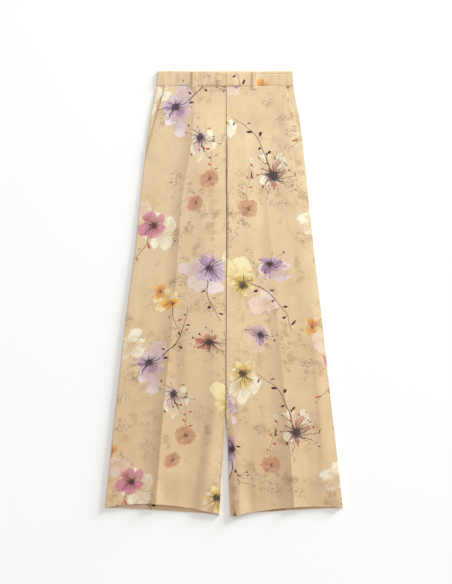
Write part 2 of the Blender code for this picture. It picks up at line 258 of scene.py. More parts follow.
def pocket_x(leg, down):
    at_band = at("side_" + leg, BAND_HEIGHT) - OUTWARD[leg] * POCKET_SLANT
    at_side = at("side_" + leg, POCKET_END)
    return lerp(at_band, at_side, (down - BAND_HEIGHT) / (POCKET_END - BAND_HEIGHT))


def pocket_lip(leg, x, down):
    """How far the front stands up where it covers the facing."""
    inside = (pocket_x(leg, np.minimum(down, POCKET_END)) - x) * OUTWARD[leg]
    over = 1 - smooth(inside, FACING_UNDER + 0.002, 0.045)
    return POCKET_LIP * over * (1 - smooth(down, POCKET_END, POCKET_LIP_END))


def fold_height(fold, x, down):
    """A soft fold, with one width on the wearer's right of its ridge and another on the left."""
    t = (down - fold.start) / (fold.end - fold.start)
    off = x - lerp(fold.x_start, fold.x_end, t)
    away = np.minimum(np.abs(off) / np.where(off < 0, fold.rise, fold.fall), 1)
    ends = smooth(t, 0, 0.45) * smooth(1 - t, 0, 0.35)
    return fold.height * ends * (1 + np.cos(np.pi * away)) / 2


def crease_height(leg, x, down):
    """A pressed crease: steep on the wearer's right of it, easing off slowly on the left."""
    away = x - at("crease_" + leg, down)
    reach = lerp(CREASE_STEEP_TOP, RISES[leg].crease_steep, smooth(down, 0.3, 0.8))
    steep = np.clip(1 + away / reach, 0, 1) ** 2
    easy = np.clip(1 - away / RISES[leg].crease_easy, 0, 1) ** 1.5
    return at("lift_" + leg, down) * np.where(away < 0, steep, easy)


def rounding(distance, reach):
    t = np.clip(distance / reach, 0, 1)
    return 1 - (1 - t) ** 2


def clear_line(leg, down):
    inner = at("inner_" + leg, down) + OUTWARD[leg] * (HALF_FOLD + 0.003)
    return inner if leg == "right" else np.maximum(inner, at("inner_right", down) + 0.004)


def uneven(x, down):
    """The slight unevenness of cloth that lies at rest: waves long down the leg and short across it."""
    a = np.sin(x / 0.0135 + 2.1 * np.sin(down / 0.115) + 0.7)
    b = np.sin(x / 0.021 - 1.6 * np.sin(down / 0.083 + 1.1) + down / 0.19)
    c = np.sin(down / 0.036 + 1.9 * np.sin(x / 0.047))
    return UNEVENNESS * (0.45 * a * b + 0.35 * b + 0.2 * c * a)


def below_band(down):
    return smooth(down, PANEL_TOP, BAND_LEVEL_END)


def sink(down):
    """How much lower the fronts lie than at the hems: the cloth is pressed flatter towards the waist."""
    return SINK * (1 - smooth(down, *SINK_DOWN))


def hem_drop(leg, from_side, from_inner, down):
    """A front hem sinks between the folds at its two ends."""
    start = HEM_DROP_FROM[leg]
    across = smooth(from_side, start, start + HEM_DROP_SIDE) * smooth(from_inner, *HEM_DROP_INNER)
    return HEM_DROP * across * smooth(down, *HEM_DROP_DOWN)


def upper(leg, x, down, fine=True):
    """Height of a front panel."""
    rise = RISES[leg]
    from_side = (at("side_" + leg, down) - x) * OUTWARD[leg] - HALF_FOLD
    from_inner = (x - clear_line(leg, down)) * OUTWARD[leg]
    across = from_inner / np.maximum(from_side + from_inner, 0.001)
    body = lerp(rise.inner_height, rise.outer_height, np.clip(across, 0, 1))
    body = body * rounding(from_side, rise.outer_reach) * rounding(from_inner, rise.inner_reach)
    relief = crease_height(leg, x, down) + sum(fold_height(f, x, down) for f in FOLDS[leg])
    if fine:
        relief = relief + sum(fold_height(f, x, down) for f in FINE_FOLDS[leg]) + uneven(x, down)
    relief = relief * rounding(from_side, SOFT_EDGE_OUTER) * rounding(from_inner, SOFT_EDGE_INNER)
    near_band = 1 - below_band(down)
    free = np.maximum(DEEPEST, body + relief) + pocket_lip(leg, x, down)
    z = HIGH + SEAM_RISE * near_band + free * (1 - near_band)
    z = z - hem_drop(leg, from_side, from_inner, down) - sink(down)
    return z + (climb(x, down, "front") if leg == "right" else shoulder(x, down))


def lower(leg, x, down):
    """Height of a back panel."""
    if leg == "left":
        return LOW + 0 * x
    crease = np.exp(-(((x - BACK_CREASE_X) / BACK_CREASE_WIDTH) ** 2)) * smooth(down, *BACK_CREASE_DOWN)
    return LOW + climb(x, down, "back") + BACK_CREASE_RISE * crease


Edge = namedtuple("Edge", "leg x outward bend down")


def outer_edge(leg, layer, down):
    """The side seam. Above it the front ends in the pocket mouth."""
    side = at("side_" + leg, down)
    bend = np.full_like(side, math.pi / 2)
    if layer == "front":
        pocket = down < POCKET_END
        side = np.where(pocket, pocket_x(leg, down), side)
        bend = np.where(pocket, 0.0, bend * smooth(down, POCKET_END, 0.225))
    return Edge(leg, side, OUTWARD[leg], bend, down)


def inner_edge(leg, layer, down):
    inward = -OUTWARD[leg]
    x = at("inner_" + leg, down)
    if layer == "back":
        x = lerp(-inward * SEAM_GAP / 2, x, smooth(down, CROTCH, 0.35))
    return Edge(leg, x, inward, math.pi / 2 * smooth(down, CROTCH, 0.34), down)


def bent(edge, way):
    """How far out and how far down the cloth is, some way into the bend at an edge."""
    upright = np.maximum(0.0, way - (QUARTER_FOLD - UPRIGHT))
    turned = way - upright
    bend = np.maximum(edge.bend, 0.01)
    radius = (QUARTER_FOLD - UPRIGHT) / bend
    reach = radius * np.sin(turned / radius) + upright * np.cos(bend)
    drop = radius * (1 - np.cos(turned / radius)) + upright * np.sin(bend)
    flat = edge.bend < 0.01
    return np.where(flat, way, reach), np.where(flat, 0.0, drop)


def run_end(edge):
    return edge.x - edge.outward * bent(edge, QUARTER_FOLD)[0]


def edge_point(edge, along):
    """x, z and down at a way along the cloth from the edge's outermost line, over the top if positive."""
    over = along > 0
    way = QUARTER_FOLD - np.abs(along)
    end = run_end(edge)
    x = np.where(way <= 0, end + edge.outward * way, end)
    z = np.where(over, upper(edge.leg, x, edge.down), lower(edge.leg, x, edge.down))
    reach, drop = bent(edge, np.maximum(way, 0.0))
    # The two layers turn towards each other until they meet, however far apart they lie
    apart = 2 * HALF_FOLD - sink(edge.down)
    if edge.leg == "right":
        apart = apart + climb(x, edge.down, "front") - climb(x, edge.down, "back")
    drop = drop * apart / (2 * HALF_FOLD)
    x = np.where(way <= 0, x, x + edge.outward * reach)
    z = np.where(way <= 0, z, z + np.where(over, -drop, drop))
    return np.stack([x, z, edge.down + 0 * x], -1)


def spread(start, end, count):
    return [lerp(start, end, (i + 1) / count) for i in range(count)]


ROUND_BEND = spread(QUARTER_FOLD, UPRIGHT, 5)
TO_SEAM = [*ROUND_BEND, SEAM_GAP / 2]
FROM_SEAM = TO_SEAM[::-1]


def inseam(leg, down):
    rolled = at("rolled", down) if leg == "left" else 0 * down
    return np.where(rolled > QUARTER_FOLD + SEAM_GAP, rolled, 0.0)


def hem(leg, layer, across):
    arc = HEM_ARC[leg] * np.sin(math.pi * across) if layer == "front" else 0.0
    return lerp(OUTER_HEM, LENGTH, across) - arc


def row_down(leg, layer, row, across):
    swung = lerp(HEM_STARTS, hem(leg, layer, across), (row - HEM_STARTS) / (HEM_LEVEL - HEM_STARTS))
    return np.where(row <= HEM_STARTS, row, swung)


def fractions(count, near_start=(), near_end=()):
    """Even steps from 0 to 1, with a few more close to either end."""
    return sorted({*(i / count for i in range(1, count + 1)), *near_start, *(1 - t for t in near_end)})


CLOSE = (0.006, 0.014)
Stretch = namedtuple("Stretch", "begins ends steps")
STRETCHES = [
    Stretch(0.0, 0.5, fractions(40, CLOSE, CLOSE)),
    Stretch(0.5, 0.95, fractions(44, CLOSE, ())),
    Stretch(0.95, 1.0, [0.04, 0.08, 0.12, 0.16, 0.2, 0.3, 0.45, 0.7, 1.0]),
]


def stretch_marks(leg, down):
    outer = edge_point(outer_edge(leg, "front", down), QUARTER_FOLD)[..., 0]
    inner = edge_point(inner_edge(leg, "front", down), inseam(leg, down) + QUARTER_FOLD)[..., 0]
    clear = clear_line(leg, down)
    if leg == "left":
        clear = np.maximum(clear, inner + 0.003)
    return [outer, at("crease_" + leg, down), clear, inner]


def stations(pitch):
    """Rows down a leg, with a few more at the waist seam, the pocket's end and the hem."""
    even = np.arange(PANEL_TOP, HEM_LEVEL, pitch)
    near = [PANEL_TOP + 0.001, POCKET_END - 0.001, POCKET_END]
    near += [HEM_LEVEL - 0.0025, HEM_LEVEL - 0.0008, HEM_LEVEL]
    return np.unique(np.concatenate([even, near]).round(5))


def front_grid(leg, rows):
    """Points of a front panel from its outer edge to its inseam, and the column of its crease."""
    outer = outer_edge(leg, "front", row_down(leg, "front", rows, 0.0))
    inner = inner_edge(leg, "front", row_down(leg, "front", rows, 1.0))
    points = [edge_point(outer, along) for along in [*FROM_SEAM, QUARTER_FOLD]]
    crease = len(points) - 1 + len(STRETCHES[0].steps)
    for i, stretch in enumerate(STRETCHES):
        for t in stretch.steps:
            down = row_down(leg, "front", rows, lerp(stretch.begins, stretch.ends, t))
            marks = stretch_marks(leg, down)
            x = lerp(marks[i], marks[i + 1], t)
            points.append(np.stack([x, upper(leg, x, down), down], -1))
    rolled = inseam(leg, inner.down)
    points += [edge_point(inner, rolled + along) for along in TO_SEAM]
    return np.stack(points, 1), crease


def round_inner_edge(edge):
    """Points of a back panel round its inner edge, from the underside up to the inseam."""
    path = [-QUARTER_FOLD] + [-along for along in ROUND_BEND]
    if edge.leg == "right":
        return [edge_point(edge, along) for along in [*path, -SEAM_GAP / 2]]
    rolled = inseam(edge.leg, edge.down)
    end = rolled - SEAM_GAP / 2
    strip = [np.minimum(along, end) for along in [*ROUND_BEND[::-1], QUARTER_FOLD]]
    run = [np.where(rolled > 0, lerp(QUARTER_FOLD, end, t), end) for t in [*spread(0.0, 0.9, 8), 0.98, 1.0]]
    rolls = [edge_point(edge, along) for along in [*path, *strip, *run]]
    short = spread(-UPRIGHT, -SEAM_GAP / 2, len(strip) + len(run))
    ends = [edge_point(edge, along + 0 * end) for along in short]
    joined = [np.where(rolled[:, None] > 0, a, b) for a, b in zip(rolls[len(path):], ends)]
    return rolls[: len(path)] + joined


def back_grid(leg, rows):
    outer = outer_edge(leg, "back", row_down(leg, "back", rows, 0.0))
    inner = inner_edge(leg, "back", row_down(leg, "back", rows, 1.0))
    points = [edge_point(outer, -along) for along in [*FROM_SEAM, QUARTER_FOLD]]
    for t in fractions(36)[:-1]:
        down = row_down(leg, "back", rows, t)
        start = run_end(outer_edge(leg, "back", down))
        end = run_end(inner_edge(leg, "back", down))
        x = lerp(start, end, 1 - (1 - t) ** 1.6)
        points.append(np.stack([x, lower(leg, x, down), down], -1))
    return np.stack(points + round_inner_edge(inner), 1)


def facing_grid(leg, rows):
    """The facing joins the side seam and lies under the pocket lip, lower beside the waistband."""
    edge = outer_edge(leg, "back", rows)
    seam = (LOW + HIGH - sink(rows)) / 2
    flat = HIGH - sink(rows) + (SEAM_RISE - POCKET_LIP) * (1 - below_band(rows))
    rolled = lerp(FACING_ROLL_TOP, 1.0, smooth(rows, *FACING_ROLL_DOWN))
    points = []
    for along in [*FROM_SEAM, QUARTER_FOLD]:
        reach, drop = bent(edge, QUARTER_FOLD - along)
        x = run_end(edge) + edge.outward * (reach * rolled - FACING_INSIDE * (1 - rolled))
        z = lerp(flat, seam, drop / HALF_FOLD * rolled)
        points.append(np.stack([x, z, rows], -1))
    inside = pocket_x(leg, rows) - OUTWARD[leg] * FACING_UNDER
    for t in fractions(8):
        x = lerp(run_end(edge), inside, t)
        points.append(np.stack([x, flat, rows], -1))
    return np.stack(points, 1)


def waist_edge(x):
    dip = WAIST_DIP * np.maximum(0.0, 1 - (x / WAIST_DIP_REACH) ** 2)
    wave = 0.0007 * np.sin(x / 0.0062 + 0.8) * np.exp(-(((x + 0.02) / 0.07) ** 2))
    return dip + wave


def band_height(leg, x):
    if leg == "right":
        return BAND_HIGH + BAND_OVER * smooth(x, *BAND_CLIMB)
    d = x - at("inner_right", 0.0) - 0.0006
    return BAND_HIGH + BAND_OVER * smooth(d, 0, 0.0016) * (1 - smooth(d, 0.01, 0.09))


def band_grid(leg):
    """A front half of the waistband, whose folded edges round off."""
    end = at("inner_right", 0.0) if leg == "right" else BAND_UNDERLAP_X
    even = [0, 0.004, 0.01, *spread(0.01, 0.99, 62), 0.996, 1]
    lap = at("inner_right", 0.0) + np.arange(0.0002, 0.003, 0.0004)
    beside = (lap - at("side_left", 0.0)) / (end - at("side_left", 0.0)) if leg == "left" else []
    u = np.unique([*even, *beside])
    tenths = [i / 10 for i in range(3, 10)]
    sections = []
    for t in [0, 0.02, 0.05, 0.1, 0.14, 0.165, *GROOVE_ROWS, 0.24, *tenths, 0.95, 0.98, 1]:
        x = lerp(at("side_" + leg, t * BAND_HEIGHT), end, u)
        down = lerp(waist_edge(x), BAND_HEIGHT - SEAM_GAP / 2, t)
        z = band_height(leg, x) - BAND_EDGE_ROUND * abs(2 * t - 1) ** 8
        z = z + 0.00016 * np.sin(x / 0.009) * np.sin(math.pi * t) + 0.0001 * np.sin(x / 0.0031)
        if t in GROOVE_ROWS:
            z = z - GROOVE * smooth(x, 0.055, 0.08)
        sections.append(np.stack([x, z, down], -1))
    return np.stack(sections)


def back_band_grid():
    """The back of the waistband, flat on the floor."""
    sections = []
    for t in fractions(8):
        down = (t - 1 / 8) * 8 / 7 * (BAND_HEIGHT - SEAM_GAP / 2)
        u = np.linspace(0, 1, 60)
        x = lerp(at("side_right", down), at("side_left", down), u)
        sections.append(np.stack([x, SHELL / 2 + SKIN_GAP + 0 * x, down + 0 * x], -1))
    return np.stack(sections)


def loop_base(leg, x, down):
    band = band_height(leg, x) + BAND_SHELL / 2 + SKIN_GAP
    panel = upper(leg, x, np.maximum(down, PANEL_TOP), fine=False) + CLOTH / 2
    return lerp(band, panel, smooth(down, BAND_HEIGHT, 0.047))


def loop_grid(leg):
    """A strip sewn down at both ends, arching off the waistband, with its long edges turned in."""
    middle = float(at("crease_" + leg, 0.02)) + LOOP_ASIDE[leg]
    side = np.array([-1, -0.94, -0.82, -0.6, -0.3, 0, 0.3, 0.6, 0.82, 0.94, 1])
    x = middle + side * LOOP_WIDTH / 2
    sections = []
    for t in np.linspace(0, 1, 41):
        down = lerp(waist_edge(x) + 0.0008, LOOP_LENGTH[leg], t)
        arch = LOOP_ARCH * smooth(t, 0.06, 0.24) * (1 - smooth(t, 0.76, 0.93))
        on_band = loop_base(leg, x, np.minimum(down, BAND_HEIGHT))
        held = np.maximum(loop_base(leg, x, down), on_band * (t < 0.8))
        z = held + SHELL + arch - 0.0001 * np.abs(side) ** 8
        sections.append(np.stack([x, z, down], -1))
    return np.stack(sections)


# ---- the printed cloth


def linear(colour, light=1.12):
    """The reflectance of a colour seen as these 8-bit values under the studio light."""
    values = [c / 255 for c in colour]
    curve = [c / 12.92 if c <= 0.04045 else ((c + 0.055) / 1.055) ** 2.4 for c in values]
    return (*(min(0.95, c / light) for c in curve), 1.0)


def formula(operation):
    """A method that adds the node of an operation on a value and another one or a number."""
    return lambda value, other: value.graph.calc(operation, value, other)


class Value:
    """A socket of a node tree, so that a formula on it reads as one."""

    def __init__(self, graph, socket):
        self.graph, self.socket = graph, socket

    def __rsub__(self, other):
        return self.graph.calc("SUBTRACT", other, self)

    __add__ = __radd__ = formula("ADD")
    __sub__ = formula("SUBTRACT")
    __mul__ = __rmul__ = formula("MULTIPLY")
    __truediv__ = formula("DIVIDE")
    __mod__ = formula("FLOORED_MODULO")
    __pow__ = formula("POWER")


class Graph:
    """Adds nodes to one tree."""

    def __init__(self, tree):
        self.tree = tree

    def node(self, kind, feeds, **settings):
        made = self.tree.nodes.new("ShaderNode" + kind)
        for name, value in settings.items():
            setattr(made, name, value)
        for key, value in feeds.items():
            if isinstance(value, Value):
                self.tree.links.new(value.socket, made.inputs[key])
            else:
                made.inputs[key].default_value = value
        return made

    def take(self, node, output=0):
        return Value(self, node.outputs[output])

    def calc(self, operation, *values, clamp=False):
        return self.take(self.node("Math", dict(enumerate(values)), operation=operation, use_clamp=clamp))

    def most(self, first, *others):
        """The greatest of several values."""
        for other in others:
            first = self.calc("MAXIMUM", first, other)
        return first

    def near(self, value, start, end):
        """1 where the value is close to 0, and 0 where it is farther off than the start."""
        return self.ramp(self.calc("ABSOLUTE", value), start, end)

    def length(self, x, y):
        return self.vector("LENGTH", self.join(x, y, 0.0), output="Value")

    def vector(self, operation, *values, output="Vector"):
        return self.take(self.node("VectorMath", dict(enumerate(values)), operation=operation), output)

    def ramp(self, value, start, end, low=0.0, high=1.0):
        feeds = {"Value": value, "From Min": start, "From Max": end, "To Min": low, "To Max": high}
        return self.take(self.node("MapRange", feeds, interpolation_type="SMOOTHSTEP"))

    def mix(self, amount, a, b, blend="MIX"):
        feeds = {0: amount, 6: a, 7: b}
        return self.take(self.node("Mix", feeds, data_type="RGBA", blend_type=blend), 2)

    def noise(self, vector, scale, detail=2.0, rough=0.5, output=0):
        feeds = {"Vector": vector, "Scale": scale, "Detail": detail, "Roughness": rough}
        return self.take(self.node("TexNoise", feeds), output)

    def white(self, x, y):
        """Three random numbers for a pair of numbers."""
        where = self.join(x, y, 0.0)
        cell = self.node("TexWhiteNoise", {"Vector": where}, noise_dimensions="2D")
        return self.split(self.take(cell, "Color"))

    def join(self, x, y, z):
        return self.take(self.node("CombineXYZ", {0: x, 1: y, 2: z}))

    def split(self, vector):
        node = self.node("SeparateXYZ", {0: vector})
        return [self.take(node, i) for i in range(3)]


def new_group(name, numbers, colours):
    """A node group that draws a motif: its graph, a function that sets its outputs, and its inputs."""
    tree = bpy.data.node_groups.new(name, "ShaderNodeTree")
    inputs = {"Point": "Vector"}
    inputs.update(dict.fromkeys(numbers.split(), "Float") | dict.fromkeys(colours.split(), "Color"))
    for way, sockets in (("INPUT", inputs), ("OUTPUT", {"Colour": "Color", "Alpha": "Float"})):
        for key, kind in sockets.items():
            tree.interface.new_socket(key, in_out=way, socket_type="NodeSocket" + kind)
    graph = Graph(tree)
    source = tree.nodes.new("NodeGroupInput")
    result = tree.nodes.new("NodeGroupOutput")

    def give(**values):
        for key, value in values.items():
            tree.links.new(value.socket, result.inputs[key])

    return graph, give, [Value(graph, source.outputs[key]) for key in inputs]


def bloom_group():
    """A flower seen from above, in units of its own radius: flat washes of petals under ink strokes."""
    numbers = "Petals Notch Sharp Uneven Seed Veins Reach Core Buds Opacity"
    g, give, given = new_group("bloom", numbers, "Outer Inner Ink")
    point, petals, notch, sharp, ragged, seed, veins, far, heart, buds, opacity, outer, inner, pen = given
    x, y, _ = g.split(point)
    r = g.vector("LENGTH", point, output="Value")
    wobble = g.noise(g.join(x, y, seed), 1.7, 3.0) - 0.5
    blot = g.noise(g.join(x, y, seed + 5), 3.4, 3.0) - 0.5
    turn = g.calc("ARCTAN2", y, x) / (2 * math.pi) + 0.5

    k = (turn + wobble * 0.2) * petals
    petal = g.calc("FLOOR", k)
    f = k - petal - 0.5
    s = g.calc("ABSOLUTE", f * 2)
    one, two, three = g.white(petal % petals, seed)
    length = 1 - (1 - one) * ragged
    loose = g.calc("MINIMUM", notch + 0.06, 0.36)
    edge = length * (1 - notch * s ** sharp) + (wobble + blot * 0.4) * loose
    inside = edge - r
    mask = g.ramp(inside, 0.0, 0.03)
    rim = g.ramp(inside, 0.06, 0.0)
    between = g.ramp(s, 0.74, 1.0)
    tone = r / length + blot * 1.5 + (two - 0.5) * 0.7
    colour = g.mix(g.ramp(tone, 0.15, 1.0), inner, outer)
    colour = g.mix(g.most(between * 0.6, rim * 0.5), colour, inner)
    fine = g.calc("SINE", (turn + wobble * 0.14) * (petals * 22 + 60))
    fine = g.ramp(fine, 0.5, 1.0) * g.ramp(r / length + blot * 1.4, 1.0, 0.45) * g.ramp(heart, 0.0, 0.12)
    colour = g.mix(fine * 0.7, colour, g.mix(0.35, inner, pen))

    spokes = petals * 4
    m = (turn + wobble * 0.14 + r * 0.03) * spokes
    spoke = g.calc("FLOOR", m)
    a, b, c = g.white(spoke % spokes, seed + 7)
    reach = far * (a * a * 0.8 + 0.2)
    half = (1 - r / reach) * (b * 0.046 + 0.022) + 0.006
    off = g.calc("ABSOLUTE", m - spoke - 0.5 + (c - 0.5) * 0.5) * r * 2 * math.pi / spokes
    stroke = g.ramp(off, half, half * 0.35) * g.ramp(r, reach, reach * 0.9) * veins
    tip = g.ramp(g.length(off, (r - reach) * 0.6), 0.055, 0.038) * g.ramp(a, 0.55, 0.6) * buds
    core = g.ramp(r + wobble * 0.4 + (b - 0.5) * 0.14, heart * 1.2, heart * 0.7)
    ink = g.most(stroke, tip, core * g.ramp(blot, -0.22, -0.02, 0.8, 1.0))
    colour = g.mix(ink * 0.96, colour, pen)
    alpha = mask * opacity * (three * 0.35 + 0.65) * g.ramp(tone, -0.5, 0.8, 0.55, 1.0)
    give(Colour=colour, Alpha=g.calc("MAXIMUM", alpha, ink * 0.95, clamp=True))
    return g.tree


def branch_group():
    """A twig along +X, with buds on alternate sides, in metres."""
    g, give, given = new_group("branch", "Length Bend Thick Pitch Bud Seed", "Stem Tip")
    point, whole, bend, thick, pitch, bud_size, seed, bark, tip = given
    x, y, _ = g.split(point)
    share = x / whole
    bow = g.calc("SINE", share * math.pi) * bend + g.calc("SINE", x * 95) * 0.0011
    y = y - bow
    inside = g.ramp(share, 0.0, 0.03) * g.ramp(share, 1.0, 0.97)
    half = thick * (1 - share * 0.7)
    stem = g.near(y, half, half * 0.45)
    j = g.calc("ROUND", x / pitch)
    along = x - j * pitch
    side = j % 2.0 * 2 - 1
    one, two, three = g.white(j, seed)
    size = bud_size * (three * 0.7 + 0.55)
    stalk = bud_size * (one * 1.8 + 0.8)
    out = y * side
    leaning = along - out * (two * 1.1 + 0.1) + out * out * 22
    twig = g.near(leaning, 0.00055, 0.0002) * g.ramp(out, stalk, stalk * 0.9)
    twig = twig * g.ramp(out, -0.0002, 0.0002)
    across = leaning / (size * (two * 0.4 + 0.38))
    up = (out - stalk) / size
    bud = g.ramp(g.calc("SQRT", across * across + up * up), 1.0, 0.82)
    alpha = g.most(stem, twig * 0.8, bud) * inside
    give(Colour=g.mix(bud, bark, tip), Alpha=alpha)
    return g.tree


THREAD = 0.0006  # pitch of the weave
TILE = (0.46, 0.64, 10.0)  # the print repeats after this many metres
IN_TURN = 1e-9
SAND_DEEP, SAND = (223, 195, 156), (229, 203, 164)
CLOUD, CLOUD_DEEP = (236, 210, 172), (208, 172, 128)
PENCIL, PENCIL_SHADE = (122, 92, 66), (190, 152, 112)
SLUB_COLOUR = (0.5, 0.36, 0.22, 1.0)
SHEEN_TINT = (1.0, 0.93, 0.82, 1.0)
PAINTED_SHADE_SPAN = (0.5, -0.62)  # painted light and shade: the cloth is painted lighter towards the waist and darker towards the hems
PAINTED_LIGHT_TOP = (1.015, 1.035, 1.04, 1.0)
PAINTED_SHADE_HEM = (0.895, 0.85, 0.815, 1.0)

Kind = namedtuple("Kind", "petals notch sharp uneven veins reach core buds opacity")
KINDS = {
    "wash": Kind(5, 0.42, 2.4, 0.45, 0.5, 1.05, 0, 0, 0.92),
    "straw": Kind(5, 0.4, 2.4, 0.45, 0.4, 1, 0, 0, 0.9),
    "blush": Kind(3, 0.36, 2.6, 0.45, 0, 1, 0, 0, 0.85),
    "mist": Kind(5, 0.4, 2.4, 0.45, 0.5, 0.9, 0, 0, 0.92),
    "lilac": Kind(5, 0.3, 2.6, 0.42, 1, 1.05, 0.2, 0, 0.97),
    "mauve": Kind(4, 0.36, 2.2, 0.42, 1, 1.3, 0.23, 1, 0.95),
    "cream": Kind(6, 0.46, 1.9, 0.42, 0.95, 1, 0.18, 0, 0.97),
    "star": Kind(7, 0.74, 1.3, 0.5, 1, 1.5, 0.23, 1, 0.94),
    "button": Kind(13, 0.14, 2, 0.12, 0.3, 0.95, 0.22, 0, 0.92),
    "rose": Kind(5, 0.34, 2.3, 0.45, 1, 1.15, 0.2, 0, 0.97),
    "gold": Kind(4, 0.46, 1.7, 0.45, 0.9, 0.95, 0.1, 0, 0.97),
    "ink": Kind(5, 0.6, 1.8, 0.45, 1, 1.6, 0.27, 1, 0.7),
}
# The outer part of the petals, the inner part, and the ink
PAINTS = {
    "wash": ((250, 244, 222), (232, 212, 172), (176, 140, 112)),
    "straw": ((250, 238, 188), (236, 212, 138), (176, 132, 76)),
    "blush": ((242, 220, 208), (230, 196, 178), (214, 170, 150)),
    "mist": ((242, 226, 226), (208, 180, 194), (160, 128, 156)),
    "lilac": ((220, 198, 210), (168, 130, 166), (46, 26, 52)),
    "mauve": ((206, 174, 194), (144, 98, 142), (38, 20, 44)),
    "cream": ((246, 230, 168), (212, 168, 64), (56, 34, 26)),
    "star": ((202, 112, 98), (138, 50, 62), (40, 16, 38)),
    "button": ((208, 152, 120), (182, 116, 84), (122, 76, 52)),
    "rose": ((214, 124, 164), (162, 34, 94), (70, 14, 46)),
    "gold": ((246, 190, 84), (220, 122, 26), (112, 52, 22)),
    "ink": ((222, 186, 190), (170, 112, 146), (34, 18, 40)),
}
# The motifs of one tile: places and sizes in millimetres, turns in degrees
Bloom = namedtuple("Bloom", "kind u v radius turn squash")
BLOOMS = [Bloom(*row) for row in (
    ("wash", 50, 66, 54, 20, 0.8),
    ("mist", 106, 124, 70, 75, 0.84),
    ("wash", 174, 204, 46, 60, 0.76),
    ("straw", 308, 202, 68, 140, 0.82),
    ("blush", 368, 268, 48, 200, 0.78),
    ("mist", 398, 184, 52, 20, 0.76),
    ("blush", 42, 366, 50, 10, 0.85),
    ("wash", 92, 424, 66, 100, 0.8),
    ("wash", 288, 470, 62, 60, 0.8),
    ("straw", 126, 586, 44, 30, 0.74),
    ("mist", 212, 528, 68, 160, 0.8),
    ("wash", 406, 576, 64, 95, 0.82),
    ("blush", 340, 364, 46, 40, 0.78),
    ("lilac", 96, 110, 54, 30, 0.88),
    ("ink", 166, 188, 40, 110, 0.8),
    ("cream", 318, 222, 52, 12, 0.85),
    ("mauve", 388, 170, 40, 200, 0.78),
    ("gold", 22, 330, 30, 250, 0.7),
    ("rose", 80, 408, 46, 50, 0.85),
    ("lilac", 226, 512, 52, 170, 0.8),
    ("cream", 296, 446, 46, 20, 0.88),
    ("star", 416, 592, 52, 70, 0.82),
    ("mauve", 350, 348, 36, 120, 0.82),
    ("button", 205, 290, 28, 0, 0.92),
    ("button", 178, 352, 24, 40, 0.88),
    ("button", 345, 34, 28, 10, 0.92),
    ("gold", 140, 602, 32, 20, 0.66),
    ("gold", 108, 572, 24, 100, 0.72),
    ("star", 242, 60, 42, 160, 0.76),
)]
Branch = namedtuple("Branch", "u v turn length bend thick pitch bud stem tip")
DARK, BARK, THIN = (72, 48, 50), (104, 76, 60), (160, 112, 78)
PLUM, RUST = (70, 36, 52), (194, 104, 78)
BRANCHES = [Branch(*row) for row in (
    (100, 115, 62, 170, 26, 2.2, 24, 6.2, DARK, PLUM),
    (330, 215, -52, 165, -24, 2, 24, 6, BARK, PLUM),
    (205, 295, 104, 150, 12, 0.9, 19, 5.6, THIN, RUST),
    (345, 38, 74, 120, -12, 0.9, 18, 5.4, THIN, RUST),
    (230, 490, -76, 160, 24, 2.1, 22, 5.8, DARK, PLUM),
    (70, 400, -118, 135, -20, 1.6, 22, 5.4, BARK, RUST),
    (405, 570, 122, 150, 22, 1.8, 22, 6, DARK, PLUM),
    (140, 600, -60, 95, 16, 1.3, 20, 5.2, BARK, RUST),
)]


def turned(g, vector, angle):
    return g.take(g.node("VectorRotate", {"Vector": vector, "Angle": angle}, rotation_type="Z_AXIS"))


def placed(g, point, motif):
    """The point seen from a motif: the tile repeats, so the nearest repeat counts."""
    half = tuple(t / 2 for t in TILE)
    away = g.vector("SUBTRACT", point, (motif.u * MM, motif.v * MM, 0.0))
    away = g.vector("WRAP", away, half, tuple(-h for h in half))
    return turned(g, away, math.radians(motif.turn))


def scattered(g, point, scale, loose, seed):
    """The point moved by the seed, its way from the nearest of many places and that one's random numbers."""
    where = g.vector("ADD", point, (seed, seed * 0.7, 0.0))
    feeds = {"Vector": where, "Scale": scale, "Randomness": loose}
    cell = g.node("TexVoronoi", feeds, voronoi_dimensions="2D")
    away = g.vector("SUBTRACT", where, g.take(cell, "Position"))
    return where, away, g.split(g.take(cell, "Color"))


def stirred(g, point, scale, detail, by):
    """The point, moved about by a soft noise."""
    noise = g.noise(point, scale, detail, output=1)
    return g.vector("ADD", point, g.vector("MULTIPLY", noise, (by, by, 0.0)))


def sketch_flowers(g, point, scale, seed):
    """Pencil outlines of small flowers, one in some of the cells."""
    where, away, (here, size, phase) = scattered(g, point, scale, 0.85, seed)
    x, y, _ = g.split(away)
    r = g.length(x, y * (phase * 0.5 + 1.0)) / ((size * 0.16 + 0.17) / scale)
    angle = g.calc("ARCTAN2", y, x)
    lobes = g.calc("ABSOLUTE", g.calc("SINE", angle * 2.5 + phase * 6)) ** 0.7 * 0.4 + 0.58
    shake = g.noise(where, 150.0, 2.0) - 0.5
    line = g.near(r - lobes + shake * 0.5, 0.11, 0.03)
    second = g.near(r - lobes * 0.84 + shake * 0.9, 0.055, 0.02) * 0.6
    rays = g.ramp(g.calc("SINE", angle * 11 + shake * 8), 0.7, 0.98) * g.ramp(r, 0.66, 0.34) * 0.8
    heart = g.ramp(r + shake * 0.9, 0.32, 0.14)
    drawn = g.most(line, second, rays, heart)
    broken = g.ramp(g.noise(where, 60.0, 1.0), 0.36, 0.56, 0.15, 1.0)
    return drawn * broken * g.ramp(here, 0.52, 0.56)


